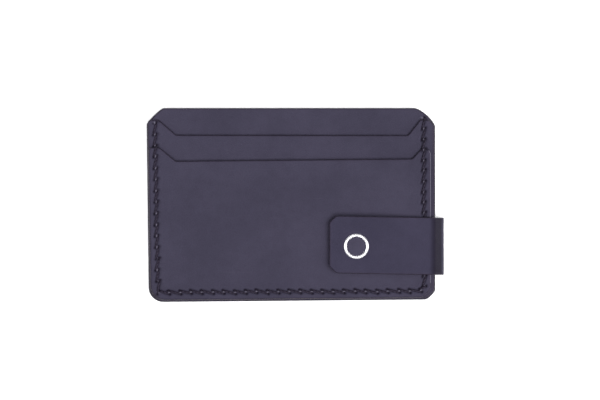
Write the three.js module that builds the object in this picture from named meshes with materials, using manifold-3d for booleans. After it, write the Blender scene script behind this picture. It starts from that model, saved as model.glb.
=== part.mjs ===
// A leather card holder: four layers saddle-stitched round three sides make three pockets that open
// at the top, and a strap sewn to the back comes round the right edge and snaps onto the front.
// Millimetres. +Z is up: the holder lies on its back. +Y is towards the pocket mouths.
import * as THREE from 'three';
import { mergeVertices } from 'three/addons/utils/BufferGeometryUtils.js';
import Module from 'manifold-3d';

const wasm = await Module();
wasm.setup();

// ---- driving dimensions ----

const LEATHER = 1.0;          // thickness of each panel
const EDGE_STEP = 0.3;        // each layer is cut this much smaller than the one behind it
const HALF_WIDTH = 51.0;      // of the back panel
const TOP = 34.0;
const BOTTOM_LEFT = -34.5;    // the bottom edge is cut slightly out of square
const BOTTOM_RIGHT = -33.6;

const STRAP_THICK = 1.1;
const STRAP_WIDTH = 20.1;
const STRAP_Y = -14.6;        // middle of the strap
const STRAP_FRONT_END = 14.0;
const STRAP_BACK_END = -24.0;
const STRAP_CHAMFER = 2.3;

const CASH_GAP = 0.4;         // free height of each pocket when it is empty
const UPPER_GAP = 0.3;
const FRONT_GAP = 0.5;

const SEAM_BORDER = 5.2;      // width of the sewn border round a pocket
const HOLE = 0.65;            // half the diagonal of a stitching hole
const STRAND = 0.3;           // half the diagonal of the thread in a hole
const THREAD_HIGH = 0.3;      // how far a stitch stands above the leather
const STITCH_ENDS = 0.34;     // half the width of a stitch at its holes
const STITCH_MIDDLE = 0.44;
const GROOVE_DEEP = 0.35;     // the stitches behind lie in a cut groove

const SNAP = { x: 23.25, y: -14.9 };
const PRONGS = 5;
const RING_OUTER = 4.65;
const RING_INNER = 3.3;
const RING_HIGH = 0.45;
const ROUND = 32;             // sides of the snap's turned pieces

const LOOP_RADIUS = 1.3;      // mid-thickness radius of the fold at the strap's lowest corner
const LOOP_TURN = 125;        // degrees from the run under the back to the leaning side
const LOOP_REACH = 52.55;     // where the lower fold begins
const SIDE_LENGTH = 4.7;
const CREST_RADIUS = 1.65;    // mid-thickness radius of the bend over the front edge
const TAB_SLOPE = 7;          // degrees that the tab climbs towards the snap
const FOLD_GAP = 20;          // degrees of the lower fold left open between strap_back and strap_side
const CREST_GAP = 12;         // the same at the upper bend

// ---- levels, from the face that the holder lies on ----

const BACK_Z = STRAP_THICK;
const UPPER_Z = BACK_Z + LEATHER + CASH_GAP;
const MIDDLE_Z = UPPER_Z + LEATHER + UPPER_GAP;
const FRONT_Z = MIDDLE_Z + LEATHER + FRONT_GAP;
const FRONT_TOP = FRONT_Z + LEATHER;
const STUD_FLANGE = 0.7;
const SOCKET_Z = FRONT_TOP + STUD_FLANGE + 0.3;
const SOCKET_HIGH = 1.5;
const TAB_Z = SOCKET_Z + SOCKET_HIGH;
const TAB_TOP = TAB_Z + STRAP_THICK;
const BACK_RING_SUNK = 0.15;
const BACK_RING_TOP = FRONT_Z + BACK_RING_SUNK;

// ---- solids ----

function solidOf(geometry) {
  const bare = geometry.clone();
  bare.deleteAttribute('normal');
  bare.deleteAttribute('uv');
  const merged = mergeVertices(bare, 1e-5);
  const vertProperties = new Float32Array(merged.attributes.position.array);
  const triVerts = new Uint32Array(merged.index.array);
  return new wasm.Manifold(new wasm.Mesh({ numProp: 3, vertProperties, triVerts }));
}

function geometryOf(solid) {
  const mesh = solid.getMesh();
  const geometry = new THREE.BufferGeometry();
  geometry.setAttribute('position', new THREE.BufferAttribute(new Float32Array(mesh.vertProperties), 3));
  geometry.setIndex(new THREE.BufferAttribute(new Uint32Array(mesh.triVerts), 1));
  geometry.computeVertexNormals();
  return geometry;
}

// A flat shape raised between two levels.
function slab(shape, low, high, curveSegments = 5) {
  const settings = { depth: high - low, bevelEnabled: false, curveSegments };
  return new THREE.ExtrudeGeometry(shape, settings).translate(0, 0, low);
}

function turned(profile) {
  const points = profile.map(([radius, z]) => new THREE.Vector2(radius, z));
  return new THREE.LatheGeometry(points, ROUND).rotateX(Math.PI / 2);
}

// An outline of corners [x, y, cut, round], listed anticlockwise. A cut corner loses the same length
// on both sides, and is straight or, if round is set, curved.
function outline(corners) {
  const shape = new THREE.Shape();
  corners.forEach(([x, y, cut = 0, round = false], i) => {
    const corner = new THREE.Vector2(x, y);
    const before = new THREE.Vector2(...corners.at(i - 1));
    const after = new THREE.Vector2(...corners[(i + 1) % corners.length]);
    const enter = corner.clone().add(before.sub(corner).setLength(cut));
    const leave = corner.clone().add(after.sub(corner).setLength(cut));
    if (i === 0) shape.moveTo(enter.x, enter.y);
    else shape.lineTo(enter.x, enter.y);
    if (round) shape.quadraticCurveTo(x, y, leave.x, leave.y);
    else if (cut > 0) shape.lineTo(leave.x, leave.y);
  });
  shape.closePath();
  return shape;
}

function diamond(x, y, half, Kind = THREE.Shape) {
  return new Kind([
    new THREE.Vector2(x + half, y),
    new THREE.Vector2(x, y + half),
    new THREE.Vector2(x - half, y),
    new THREE.Vector2(x, y - half),
  ]);
}

// ---- the perimeter seam ----

// Even stitches from one point to another, both ends included.
function stitchLine([x0, y0], [x1, y1], stitches) {
  const step = (i) => [x0 + ((x1 - x0) * i) / stitches, y0 + ((y1 - y0) * i) / stitches];
  return Array.from({ length: stitches + 1 }, (_, i) => step(i));
}

// The seam turns at these points: down the left side, along the bottom, round a cut corner and up.
const SEAM_TURNS = [[-48.1, 28.75], [-47.3, -31.3], [46.0, -30.8], [47.5, -29.1], [47.3, 30.35]];
const SEAM_STITCHES = [15, 24, 1, 16];
const SEAM_HOLES = [
  SEAM_TURNS[0],
  ...SEAM_STITCHES.flatMap((count, i) => stitchLine(SEAM_TURNS[i], SEAM_TURNS[i + 1], count).slice(1)),
];

// ---- the panels, from the back to the front ----

// earTop is where the panel's two ears end. The mouth between them is a shallow trapezoid: it starts
// at earLeft and earRight on the ears' top line, and is level at mouthLeft and mouthRight.
const PANELS = {
  back_panel: { layer: 0, z: BACK_Z, gap: 0 },
  upper_panel: { layer: 1, z: UPPER_Z, gap: CASH_GAP },
  middle_pocket_panel: {
    layer: 2, z: MIDDLE_Z, gap: UPPER_GAP, earTop: 29.8,
    earLeft: -46.7, mouthLeft: [-40.5, 24.4], mouthRight: [41.8, 24.3], earRight: 46.1,
  },
  front_pocket_panel: {
    layer: 3, z: FRONT_Z, gap: FRONT_GAP, earTop: 20.0,
    earLeft: -46.3, mouthLeft: [-40.6, 15.2], mouthRight: [43.2, 16.0], earRight: 46.9,
  },
};

function panelOutline({ layer, earTop, earLeft, mouthLeft, mouthRight, earRight }) {
  const step = layer * EDGE_STEP;
  const left = -HALF_WIDTH + step;
  const right = HALF_WIDTH - step * 1.2;
  const foot = [
    [left + 0.5, BOTTOM_LEFT + step * 0.6, 5.6, true],
    [right - 0.2, BOTTOM_RIGHT + step * 0.4, 3.0],
  ];
  if (earTop === undefined) {
    return [...foot, [right, TOP, 5.4], [left, TOP, 4.9]];
  }
  return [
    ...foot,
    [right, earTop, 0.8, true],
    [earRight, earTop], mouthRight, mouthLeft, [earLeft, earTop],
    [left, earTop, 0.5, true],
  ];
}

const inPanel = (panel, y) => panel.earTop === undefined || y + HOLE < panel.earTop;

// The panel with its stitching holes. A pocket's panel stands on a sewn border, and the pocket is the
// shallow space that the border leaves open towards the top.
function panelSolid(panel) {
  const shape = outline(panelOutline(panel));
  const holes = SEAM_HOLES.filter(([, y]) => inPanel(panel, y));
  shape.holes.push(...holes.map(([x, y]) => diamond(x, y, HOLE, THREE.Path)));
  const plate = solidOf(slab(shape, panel.z - panel.gap, panel.z + LEATHER));
  if (panel.gap === 0) return plate;
  const side = HALF_WIDTH - SEAM_BORDER;
  const floor = BOTTOM_LEFT + SEAM_BORDER + 0.8;
  const pocket = outline([[-side, floor, 3, true], [side, floor, 3, true], [side, TOP + 5], [-side, TOP + 5]]);
  return plate.subtract(solidOf(slab(pocket, panel.z - panel.gap - 1, panel.z)));
}

// ---- the strap ----

// A path in the XZ plane that is carried forward and turned, like a strip being folded.
class StripPath {
  constructor(x, z, degrees) {
    this.at = { x, z, angle: THREE.MathUtils.degToRad(degrees) };
    this.points = [{ ...this.at }];
  }

  forward(length) {
    this.at.x += length * Math.cos(this.at.angle);
    this.at.z += length * Math.sin(this.at.angle);
    this.points.push({ ...this.at });
    return this;
  }

  // Turns left about a centre at the radius, in equal steps.
  turn(radius, degrees, steps = 5) {
    const sweep = THREE.MathUtils.degToRad(degrees) / steps;
    for (let i = 0; i < steps; i += 1) {
      const { x, z, angle } = this.at;
      const next = angle + sweep;
      this.at = {
        x: x + radius * (Math.sin(next) - Math.sin(angle)),
        z: z - radius * (Math.cos(next) - Math.cos(angle)),
        angle: next,
      };
      this.points.push({ ...this.at });
    }
    return this;
  }

  // The point on the strip's outer face at the path's end.
  outside(thick) {
    const { x, z, angle } = this.at;
    return [x + (thick / 2) * Math.sin(angle), z - (thick / 2) * Math.cos(angle)];
  }

  solid(thick, width, middle) {
    const side = (sign) => this.points.map(({ x, z, angle }) => new THREE.Vector2(
      x + sign * (thick / 2) * Math.sin(angle),
      z - sign * (thick / 2) * Math.cos(angle),
    ));
    const shape = new THREE.Shape([...side(1), ...side(-1).reverse()]);
    const across = slab(shape, 0, width).rotateX(Math.PI / 2);
    return solidOf(across.translate(0, middle + width / 2, 0));
  }
}

const strapWidthAt = (path) => path.solid(STRAP_THICK, STRAP_WIDTH, STRAP_Y);
const halfFold = LOOP_TURN / 2;
const crestTurn = 180 - TAB_SLOPE - LOOP_TURN;

const backPath = new StripPath(STRAP_BACK_END, STRAP_THICK / 2, 0)
  .forward(LOOP_REACH - STRAP_BACK_END)
  .turn(LOOP_RADIUS, halfFold - FOLD_GAP / 2);

const foldMiddle = new StripPath(LOOP_REACH, STRAP_THICK / 2, 0).turn(LOOP_RADIUS, halfFold, 1);
const sideStart = new StripPath(LOOP_REACH, STRAP_THICK / 2, 0).turn(LOOP_RADIUS, halfFold + FOLD_GAP / 2, 1);
const startAngle = halfFold + FOLD_GAP / 2;
const sidePath = new StripPath(sideStart.at.x, sideStart.at.z, startAngle)
  .turn(LOOP_RADIUS, LOOP_TURN - startAngle)
  .forward(SIDE_LENGTH);
const crestStart = { ...sidePath.at };
sidePath.turn(CREST_RADIUS, crestTurn / 2 - CREST_GAP / 2, 3);

const crestMiddle = new StripPath(crestStart.x, crestStart.z, LOOP_TURN).turn(CREST_RADIUS, crestTurn / 2, 1);
const tabStart = new StripPath(crestStart.x, crestStart.z, LOOP_TURN)
  .turn(CREST_RADIUS, crestTurn / 2 + CREST_GAP / 2, 1);
const tabPath = new StripPath(tabStart.at.x, tabStart.at.z, LOOP_TURN + crestTurn / 2 + CREST_GAP / 2)
  .turn(CREST_RADIUS, crestTurn / 2 - CREST_GAP / 2, 3);
const EASE_RADIUS = 30;       // the tab eases from its slope to the level of the socket
const slope = THREE.MathUtils.degToRad(TAB_SLOPE);
const easeRise = EASE_RADIUS * (1 - Math.cos(slope));
const climb = TAB_Z + STRAP_THICK / 2 - tabPath.at.z - easeRise;
tabPath.forward(climb / Math.sin(slope)).turn(EASE_RADIUS, TAB_SLOPE, 4);
tabPath.forward(tabPath.at.x - STRAP_FRONT_END);

// The two lines that the strap folds about, on its outer face: points [x, z] on axes along Y.
export const FOLD_AXIS = foldMiddle.outside(STRAP_THICK);
export const CREST_AXIS = crestMiddle.outside(STRAP_THICK);

// A box-stitched rectangle of holes near the strap's inner end.
const BOX = { left: -21, right: -9.45, top: STRAP_Y + 7, bottom: STRAP_Y - 7 };
const BOX_HOLES = [
  ...stitchLine([BOX.left, BOX.top], [BOX.left, BOX.bottom], 4),
  ...stitchLine([BOX.left, BOX.bottom], [BOX.right, BOX.bottom], 3).slice(1),
  ...stitchLine([BOX.right, BOX.bottom], [BOX.right, BOX.top], 4).slice(1),
  ...stitchLine([BOX.right, BOX.top], [BOX.left, BOX.top], 3).slice(1, -1),
];

function frameOutline({ left, right, top, bottom }, half) {
  const rectangle = (grow, Kind) => new Kind([
    new THREE.Vector2(left - grow, bottom - grow),
    new THREE.Vector2(right + grow, bottom - grow),
    new THREE.Vector2(right + grow, top + grow),
    new THREE.Vector2(left - grow, top + grow),
  ]);
  const shape = rectangle(half, THREE.Shape);
  shape.holes.push(rectangle(-half, THREE.Path));
  return shape;
}

// The strap seen from above, its end square with its two corners cut.
function strapPlan(end) {
  const low = STRAP_Y - STRAP_WIDTH / 2;
  const high = STRAP_Y + STRAP_WIDTH / 2;
  const far = end + 2 * HALF_WIDTH;
  const corners = [[end, low, STRAP_CHAMFER], [far, low], [far, high], [end, high, STRAP_CHAMFER]];
  return solidOf(slab(outline(corners), -5, 30));
}

// ---- thread ----

// A flat band along points { x, y, half }, where half is half its width there. Its corners are mitred.
function bandShape(spine) {
  const heading = (from, to) => new THREE.Vector2(to.x - from.x, to.y - from.y).normalize();
  const edge = (sign) => spine.map((point, i) => {
    const before = heading(spine[Math.max(i - 1, 0)], spine[Math.max(i, 1)]);
    const last = spine.length - 1;
    const after = heading(spine[Math.min(i, last - 1)], spine[Math.min(i + 1, last)]);
    const along = before.clone().add(after).normalize();
    const reach = (sign * point.half) / along.dot(after);
    return new THREE.Vector2(point.x - reach * along.y, point.y + reach * along.x);
  });
  return new THREE.Shape([...edge(-1), ...edge(1).reverse()]);
}

// A chain of stitches as one band: narrow at each hole and wide at the middle of each stitch.
function chainShape(holes) {
  const spine = holes.flatMap(([x, y], i) => {
    const hole = { x, y, half: STITCH_ENDS };
    if (i === holes.length - 1) return [hole];
    const [nextX, nextY] = holes[i + 1];
    return [hole, { x: (x + nextX) / 2, y: (y + nextY) / 2, half: STITCH_MIDDLE }];
  });
  return bandShape(spine);
}

function surfaceAt([, y]) {
  if (inPanel(PANELS.front_pocket_panel, y)) return FRONT_TOP;
  if (inPanel(PANELS.middle_pocket_panel, y)) return MIDDLE_Z + LEATHER;
  return UPPER_Z + LEATHER;
}

// The front stitches lie on the panel that is highest at either end, so they are made in one band for
// each level that the seam passes over.
function perimeterThread() {
  const last = SEAM_HOLES.length - 1;
  const levels = SEAM_HOLES.slice(1).map((hole, i) => Math.max(surfaceAt(hole), surfaceAt(SEAM_HOLES[i])));
  const starts = levels.map((level, i) => i).filter((i) => i === 0 || levels[i] !== levels[i - 1]);
  const bands = starts.map((start, n) => {
    const end = starts[n + 1] ?? last;
    const band = chainShape(SEAM_HOLES.slice(start, end + 1));
    return solidOf(slab(band, levels[start], levels[start] + THREAD_HIGH));
  });
  bands.push(solidOf(slab(chainShape(SEAM_HOLES), BACK_Z + 0.05, BACK_Z + GROOVE_DEEP)));
  const strands = SEAM_HOLES.map(([x, y], i) => {
    const top = Math.max(levels[Math.max(i - 1, 0)], levels[Math.min(i, last - 1)]);
    const middles = [BACK_Z + GROOVE_DEEP / 2, top + THREAD_HIGH / 2];
    return solidOf(slab(diamond(x, y, STRAND), ...middles));
  });
  return wasm.Manifold.union([...bands, ...strands]);
}

function anchorThread() {
  const inside = BACK_Z + LEATHER;
  const outer = solidOf(slab(frameOutline(BOX, 0.35), 0.05, GROOVE_DEEP));
  const inner = solidOf(slab(frameOutline(BOX, 0.35), inside, inside + THREAD_HIGH));
  const middles = [GROOVE_DEEP / 2, inside + THREAD_HIGH / 2];
  const strands = BOX_HOLES.map(([x, y]) => solidOf(slab(diamond(x, y, STRAND), ...middles)));
  return wasm.Manifold.union([outer, inner, ...strands]);
}

const boxPiercings = wasm.Manifold.union(BOX_HOLES.map(([x, y]) => solidOf(slab(diamond(x, y, HOLE), -1, 3))));
const boxGroove = solidOf(slab(frameOutline(BOX, 0.65), -1, GROOVE_DEEP));
const grooveSpine = SEAM_TURNS.map(([x, y]) => ({ x, y, half: 0.75 }));
const seamGroove = solidOf(slab(bandShape(grooveSpine), 0, BACK_Z + GROOVE_DEEP));

// ---- the prong snap ----

// Boxes set round the snap's centre, for the prongs and the slots that they pass through.
function aroundSnap(inner, outer, width, low, high) {
  const pieces = Array.from({ length: PRONGS }, (_, i) => {
    const prong = new THREE.BoxGeometry(outer - inner, width, high - low);
    prong.translate((inner + outer) / 2, 0, (low + high) / 2);
    prong.rotateZ(((i + 0.25) * 2 * Math.PI) / PRONGS);
    return solidOf(prong.translate(SNAP.x, SNAP.y, 0));
  });
  return wasm.Manifold.union(pieces);
}

const atSnap = (profile) => solidOf(turned(profile).translate(SNAP.x, SNAP.y, 0));

// A flat-backed ring with a domed face. side is 1 when the face looks up and -1 when it looks down.
function prongRing(back, side, prongLength) {
  const face = [[RING_INNER, 0], [RING_INNER, 0.2], [3.55, 0.38], [3.97, RING_HIGH], [4.4, 0.38], [RING_OUTER, 0.15],
    [RING_OUTER, 0], [RING_INNER, 0]];
  const profile = face.map(([radius, high]) => [radius, back + side * high]);
  const ring = atSnap(side > 0 ? profile.reverse() : profile);
  const ends = [back + side * 0.1, back - side * prongLength].sort((a, b) => a - b);
  return ring.add(aroundSnap(3.6, 4.0, 1.1, ...ends));
}

const prongSlots = (low, high) => aroundSnap(3.35, 4.25, 1.7, low, high);

function snapStud() {
  const top = FRONT_TOP + STUD_FLANGE;
  return atSnap([
    [0, FRONT_TOP], [3.3, FRONT_TOP], [3.3, FRONT_TOP + 0.45], [4.3, FRONT_TOP + 0.45], [4.3, FRONT_TOP],
    [4.6, FRONT_TOP], [4.6, top - 0.2], [4.4, top], [1.5, top], [1.5, top + 0.65],
    [1.75, top + 0.9], [1.75, top + 1.15], [1.4, top + 1.35], [0, top + 1.35],
  ]);
}

const SPRING_ROOM = { inner: 2.15, outer: 2.85, low: SOCKET_Z + 0.25, high: SOCKET_Z + 0.85 };

function snapSocket() {
  const { inner, outer, low, high } = SPRING_ROOM;
  return atSnap([
    [inner, SOCKET_Z], [3.3, SOCKET_Z], [3.6, SOCKET_Z + 0.3], [3.7, SOCKET_Z + 0.75], [4.5, SOCKET_Z + 0.85],
    [4.7, SOCKET_Z + 1.05], [4.7, TAB_Z], [4.3, TAB_Z], [4.3, TAB_Z - 0.45], [3.3, TAB_Z - 0.45],
    [3.3, TAB_Z], [inner, TAB_Z], [inner, high], [outer, high], [outer, low], [inner, low], [inner, SOCKET_Z],
  ]);
}

class RingArc extends THREE.Curve {
  constructor(radius, opening) {
    super();
    this.radius = radius;
    this.opening = opening;
  }

  getPoint(t) {
    const angle = this.opening / 2 + t * (2 * Math.PI - this.opening);
    return new THREE.Vector3(this.radius * Math.cos(angle), this.radius * Math.sin(angle), 0);
  }
}

function snapSpring() {
  const wire = new THREE.Shape().absarc(0, 0, 0.22, 0, 2 * Math.PI, false);
  const path = new RingArc(2.42, THREE.MathUtils.degToRad(40));
  const settings = { steps: 24, curveSegments: 4, extrudePath: path, bevelEnabled: false };
  const level = (SPRING_ROOM.low + SPRING_ROOM.high) / 2;
  return new THREE.ExtrudeGeometry(wire, settings).translate(SNAP.x, SNAP.y, level);
}

// ---- assembly ----

const leather = () => new THREE.MeshStandardMaterial({ color: 0x494657, roughness: 0.72, metalness: 0 });
const thread = () => new THREE.MeshStandardMaterial({ color: 0x282330, roughness: 0.6, metalness: 0 });
const steel = () => new THREE.MeshStandardMaterial({ color: 0xe4e2e6, roughness: 0.18, metalness: 1 });

const holder = new THREE.Group();

function addPiece(name, shape, material) {
  const geometry = shape instanceof THREE.BufferGeometry ? shape : geometryOf(shape);
  const mesh = new THREE.Mesh(geometry, material);
  mesh.name = name;
  holder.add(mesh);
}

const PRONG_ROOM = 0.05;
const backRingRoom = atSnap([
  [3.0, FRONT_Z - 1], [4.95, FRONT_Z - 1], [4.95, BACK_RING_TOP], [3.0, BACK_RING_TOP], [3.0, FRONT_Z - 1],
]);
const cuts = {
  back_panel: [boxPiercings, seamGroove],
  front_pocket_panel: [prongSlots(FRONT_Z - PRONG_ROOM, FRONT_TOP + PRONG_ROOM), backRingRoom],
};

for (const [name, panel] of Object.entries(PANELS)) {
  const tools = cuts[name] ?? [];
  addPiece(name, tools.reduce((solid, tool) => solid.subtract(tool), panelSolid(panel)), leather());
}

const strapBack = strapWidthAt(backPath).intersect(strapPlan(STRAP_BACK_END));
addPiece('strap_back', strapBack.subtract(boxPiercings).subtract(boxGroove), leather());
addPiece('strap_side', strapWidthAt(sidePath), leather());
const strapTab = strapWidthAt(tabPath).intersect(strapPlan(STRAP_FRONT_END));
addPiece('strap_tab', strapTab.subtract(prongSlots(TAB_Z - 1, TAB_TOP + 1)), leather());

addPiece('snap_cap_ring', prongRing(TAB_TOP, 1, STRAP_THICK + 0.35), steel());
addPiece('snap_socket', snapSocket(), steel());
addPiece('snap_spring', snapSpring(), steel());
addPiece('snap_stud', snapStud(), steel());
addPiece('snap_back_ring', prongRing(BACK_RING_TOP, -1, FRONT_TOP - BACK_RING_TOP + 0.3), steel());

addPiece('perimeter_thread', perimeterThread(), thread());
addPiece('anchor_thread', anchorThread(), thread());

// The origin is under the middle of the whole outline, strap loop included.
const box = new THREE.Box3().setFromObject(holder);
holder.position.set(-(box.min.x + box.max.x) / 2, -(box.min.y + box.max.y) / 2, 0);

export default holder;
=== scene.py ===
# %% [markdown]
# # A leather card holder with a snap strap
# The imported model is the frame: it says where every piece is and how the strap turns. Each cell below
# puts one real piece or finish over that frame, as a surface worked out with numpy.

# %% Load the frame
import math

import bmesh
import bpy
import numpy as np
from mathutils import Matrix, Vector


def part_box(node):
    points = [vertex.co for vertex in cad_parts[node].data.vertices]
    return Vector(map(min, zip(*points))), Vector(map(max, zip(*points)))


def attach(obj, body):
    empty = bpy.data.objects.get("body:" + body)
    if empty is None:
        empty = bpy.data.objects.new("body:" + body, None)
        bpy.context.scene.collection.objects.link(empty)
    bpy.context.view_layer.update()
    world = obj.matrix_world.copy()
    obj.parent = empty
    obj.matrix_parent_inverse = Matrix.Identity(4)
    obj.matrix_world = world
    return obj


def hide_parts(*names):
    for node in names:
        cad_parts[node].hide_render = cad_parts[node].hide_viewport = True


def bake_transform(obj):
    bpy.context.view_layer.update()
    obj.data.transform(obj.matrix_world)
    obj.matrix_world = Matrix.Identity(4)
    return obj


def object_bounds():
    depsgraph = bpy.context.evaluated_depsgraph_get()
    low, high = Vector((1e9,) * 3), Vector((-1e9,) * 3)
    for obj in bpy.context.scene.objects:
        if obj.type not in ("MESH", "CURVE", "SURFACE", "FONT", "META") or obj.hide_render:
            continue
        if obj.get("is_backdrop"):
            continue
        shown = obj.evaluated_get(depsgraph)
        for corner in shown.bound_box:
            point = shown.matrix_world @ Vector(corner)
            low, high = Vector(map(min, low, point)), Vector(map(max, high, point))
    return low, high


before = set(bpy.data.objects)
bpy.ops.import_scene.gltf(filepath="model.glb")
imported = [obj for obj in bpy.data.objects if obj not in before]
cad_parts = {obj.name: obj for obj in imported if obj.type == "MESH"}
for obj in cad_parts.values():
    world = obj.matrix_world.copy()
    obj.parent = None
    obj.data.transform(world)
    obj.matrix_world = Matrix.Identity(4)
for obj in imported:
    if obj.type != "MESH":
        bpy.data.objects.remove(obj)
cad_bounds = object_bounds()

# %% [markdown]
# ## Where things are
# A maker thinks of a small leather piece in millimetres from the middle of the holder, so the shapes
# below are worked out that way. `put_in_frame` turns them into metres in the imported model's frame.
# The strap's and the snap's heights come straight from the boxes of the model's nodes, and the panels'
# levels are given in millimetres.

# %% Measures in millimetres
MM = 0.001
HALF_WIDTH = 51.0
TOP = 34.0


def node_box(node):
    """Lowest and highest corner of a node in millimetres."""
    low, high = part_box(node)
    return np.array(low) / MM, np.array(high) / MM


back_low, back_high = node_box("back_panel")
CENTRE = np.array([(back_low[0] + back_high[0]) / 2, back_high[1] - TOP, 0.0])
STRAP_LOW, STRAP_HIGH = node_box("strap_tab")[0] - CENTRE, node_box("strap_tab")[1] - CENTRE
STRAP_THICK = 1.1
# The leather strap is sewn on a little higher than the plain shape in the frame, and cut a little
# wider and longer.
STRAP_HIGHER, STRAP_WIDER, STRAP_LONGER = 0.22, 0.1, 0.3
STRAP_Y = (STRAP_LOW[1] + STRAP_HIGH[1]) / 2 + STRAP_HIGHER
STRAP_HALF = (STRAP_HIGH[1] - STRAP_LOW[1]) / 2 + STRAP_WIDER
ring_low, ring_high = node_box("snap_cap_ring")
SNAP = (ring_low + ring_high) / 2 - CENTRE


def put_in_frame(points):
    """Millimetres from the holder's middle to metres in the model's frame."""
    return (points + CENTRE) * MM


def smooth(t):
    """0 up to t = 0, 1 from t = 1, and a curve that starts and ends level in between."""
    t = np.clip(t, 0, 1)
    return t * t * (3 - 2 * t)


def bell(distance, width, power=2):
    """exp(-(distance / width)^power): 1 on a line, and next to nothing at twice the width from it."""
    return np.exp(-((distance / width) ** power))


def ruler(*stretches):
    """Rising positions made of stretches (start, end, spacing), each divided evenly."""
    parts = [np.linspace(a, b, max(2, round((b - a) / gap) + 1))[:-1] for a, b, gap in stretches]
    return np.concatenate([*parts, [stretches[-1][1]]])


print("holder's middle at", CENTRE, "snap at", SNAP)

# %% [markdown]
# ## Small helpers for materials
# A material is a tree of nodes. `add` makes one node and fills its inputs, with either a plain value
# or another node's output, so that each material below reads from its source to its shader.

# %% Node helpers


def feed(tree, socket, value):
    """Links another node's output to an input socket, or sets a plain value on it."""
    if isinstance(value, bpy.types.NodeSocket):
        tree.links.new(value, socket)
    else:
        socket.default_value = value


def add(tree, kind, inputs=None, **settings):
    """Adds a node, sets its settings, and feeds its inputs, each given by its name or number."""
    node = tree.nodes.new(kind)
    for key, value in settings.items():
        setattr(node, key, value)
    for key, value in (inputs or {}).items():
        feed(tree, node.inputs[key], value)
    return node


def math_node(tree, operation, *numbers):
    """One arithmetic step on two or three numbers, as an output socket."""
    return add(tree, "ShaderNodeMath", dict(enumerate(numbers)), operation=operation).outputs[0]


def remap(tree, value, low, high, new_low, new_high):
    """A smooth change of range, as an output socket."""
    inputs = {"Value": value, "From Min": low, "From Max": high, "To Min": new_low, "To Max": new_high}
    return add(tree, "ShaderNodeMapRange", inputs, interpolation_type="SMOOTHSTEP").outputs["Result"]


def blend_colour(tree, amount, a, b):
    """Colour a where the amount is 0, b where it is 1, and their mix between, as an output socket."""
    return add(tree, "ShaderNodeMix", {0: amount, 6: a, 7: b}, data_type="RGBA").outputs[2]


def add_bump(tree, shader, height, strength, depth):
    """Feeds a shader's normal from a height, where a height of 1 is that depth in metres."""
    bump = add(tree, "ShaderNodeBump", {"Height": height, "Strength": strength, "Distance": depth})
    feed(tree, shader.inputs["Normal"], bump.outputs["Normal"])


def new_group(name, inputs, outputs):
    """A shader node group with float or vector sockets, and its two end nodes."""
    tree = bpy.data.node_groups.new(name, "ShaderNodeTree")
    for socket, default in inputs.items():
        kind = "NodeSocketVector" if default is None else "NodeSocketFloat"
        made = tree.interface.new_socket(socket, in_out="INPUT", socket_type=kind)
        if default is not None:
            made.default_value = default
    for socket in outputs:
        tree.interface.new_socket(socket, in_out="OUTPUT", socket_type="NodeSocketFloat")
    return tree, tree.nodes.new("NodeGroupInput").outputs, tree.nodes.new("NodeGroupOutput").inputs


def use_group(tree, group, inputs):
    """Places a group in a material and gives its outputs."""
    return add(tree, "ShaderNodeGroup", inputs, node_tree=group).outputs


def new_material(name, **shader):
    """A material with one Principled shader, its constants set on the shader's own sockets."""
    material = bpy.data.materials.new(name)
    material.use_nodes = True
    principled = material.node_tree.nodes["Principled BSDF"]
    for key, value in shader.items():
        principled.inputs[key.replace("_", " ")].default_value = value
    return material, material.node_tree, principled


# %% [markdown]
# ## Effects that several finishes share
# Smooth calf leather has a grain of tiny flat cells with pores between them. It could be a bought
# image, but a Voronoi texture makes the same cells at any size. Handling leaves soft patches and a
# few hairline marks, and a burnished edge shows the hide's fibres in thin layers. Each effect is one
# node group, so the panels and the strap can carry it in different amounts.

# %% Grain, handling and edge groups


def make_grain():
    """Cells bent out of true by a noise, with soft valleys, plus a fine tooth. Height is their weighted
    sum and Tone the cells alone, both about 0 to 1."""
    inputs = {"Position": None, "Cells per metre": 2100.0}
    tree, given, result = new_group("leather grain", inputs, ["Height", "Tone"])
    cell_share, tooth_share = 0.55, 0.45
    wander = add(tree, "ShaderNodeTexNoise", {"Vector": given["Position"], "Scale": 700.0, "Detail": 2.0})
    scaled = {0: wander.outputs["Color"], "Scale": 0.00035}
    bend = add(tree, "ShaderNodeVectorMath", scaled, operation="SCALE")
    moved = add(tree, "ShaderNodeVectorMath", {0: given["Position"], 1: bend.outputs[0]}, operation="ADD")
    where = {"Vector": moved.outputs[0], "Scale": given["Cells per metre"], "Randomness": 1.0}
    cells = add(tree, "ShaderNodeTexVoronoi", where, feature="DISTANCE_TO_EDGE")
    valley = remap(tree, cells.outputs["Distance"], 0.0, 0.22, 0.0, 1.0)
    tooth = add(tree, "ShaderNodeTexNoise", {"Vector": given["Position"], "Scale": 9000.0, "Detail": 3.0})
    rough = math_node(tree, "MULTIPLY", tooth.outputs["Fac"], tooth_share)
    feed(tree, result["Height"], math_node(tree, "MULTIPLY_ADD", valley, cell_share, rough))
    feed(tree, result["Tone"], valley)
    return tree


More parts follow.
